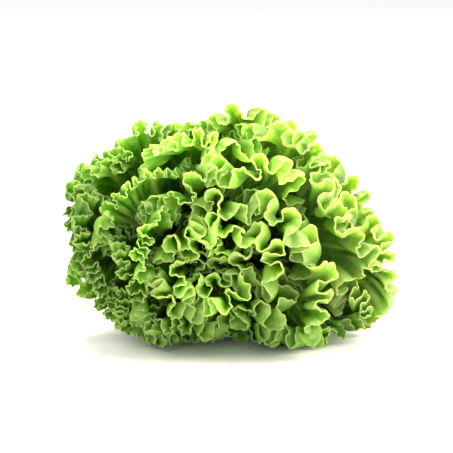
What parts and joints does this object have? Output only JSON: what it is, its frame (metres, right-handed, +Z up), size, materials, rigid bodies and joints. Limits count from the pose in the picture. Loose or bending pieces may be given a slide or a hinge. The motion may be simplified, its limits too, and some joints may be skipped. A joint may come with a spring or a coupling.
{
  "type": "head of lettuce",
  "caption": "Head of loose-leaf lettuce with tightly frilled leaves round a short cut stem, lying on its side.",
  "frame": {"origin": "on the surface the head lies on, under the middle of its bounding box", "axes": "+X to the right seen from the crown, -Y the way the crown faces, +Z up"},
  "size_m": [0.276, 0.182, 0.1874],
  "materials": {
    "stem": "pale green-white cut stem, slightly moist, browned at the cut",
    "outer_leaf": "mid-green fresh leaf, satin, translucent",
    "middle_leaf": "yellow-green fresh leaf, satin, translucent",
    "heart_leaf": "pale yellow-green young leaf, satin, translucent"
  },
  "bodies": {
    "root": {"stem": "stem", "outer_leaf_01": "outer_leaf", "outer_leaf_02": "outer_leaf", "outer_leaf_03": "outer_leaf", "outer_leaf_04": "outer_leaf", "outer_leaf_05": "outer_leaf", "outer_leaf_06": "outer_leaf", "outer_leaf_07": "outer_leaf", "outer_leaf_08": "outer_leaf", "outer_leaf_09": "outer_leaf", "outer_leaf_10": "outer_leaf", "outer_leaf_11": "outer_leaf", "outer_leaf_12": "outer_leaf", "middle_leaf_01": "middle_leaf", "middle_leaf_02": "middle_leaf", "middle_leaf_03": "middle_leaf", "middle_leaf_04": "middle_leaf", "middle_leaf_05": "middle_leaf", "middle_leaf_06": "middle_leaf", "middle_leaf_07": "middle_leaf", "middle_leaf_08": "middle_leaf", "middle_leaf_09": "middle_leaf", "middle_leaf_10": "middle_leaf", "middle_leaf_11": "middle_leaf", "middle_leaf_12": "middle_leaf", "middle_leaf_13": "middle_leaf", "middle_leaf_14": "middle_leaf", "heart_leaf_01": "heart_leaf", "heart_leaf_02": "heart_leaf", "heart_leaf_03": "heart_leaf", "heart_leaf_04": "heart_leaf", "heart_leaf_05": "heart_leaf", "heart_leaf_06": "heart_leaf", "heart_leaf_07": "heart_leaf", "heart_leaf_08": "heart_leaf", "heart_leaf_09": "heart_leaf", "heart_leaf_10": "heart_leaf", "heart_leaf_11": "heart_leaf", "heart_leaf_12": "heart_leaf"}
  },
  "joints": []
}
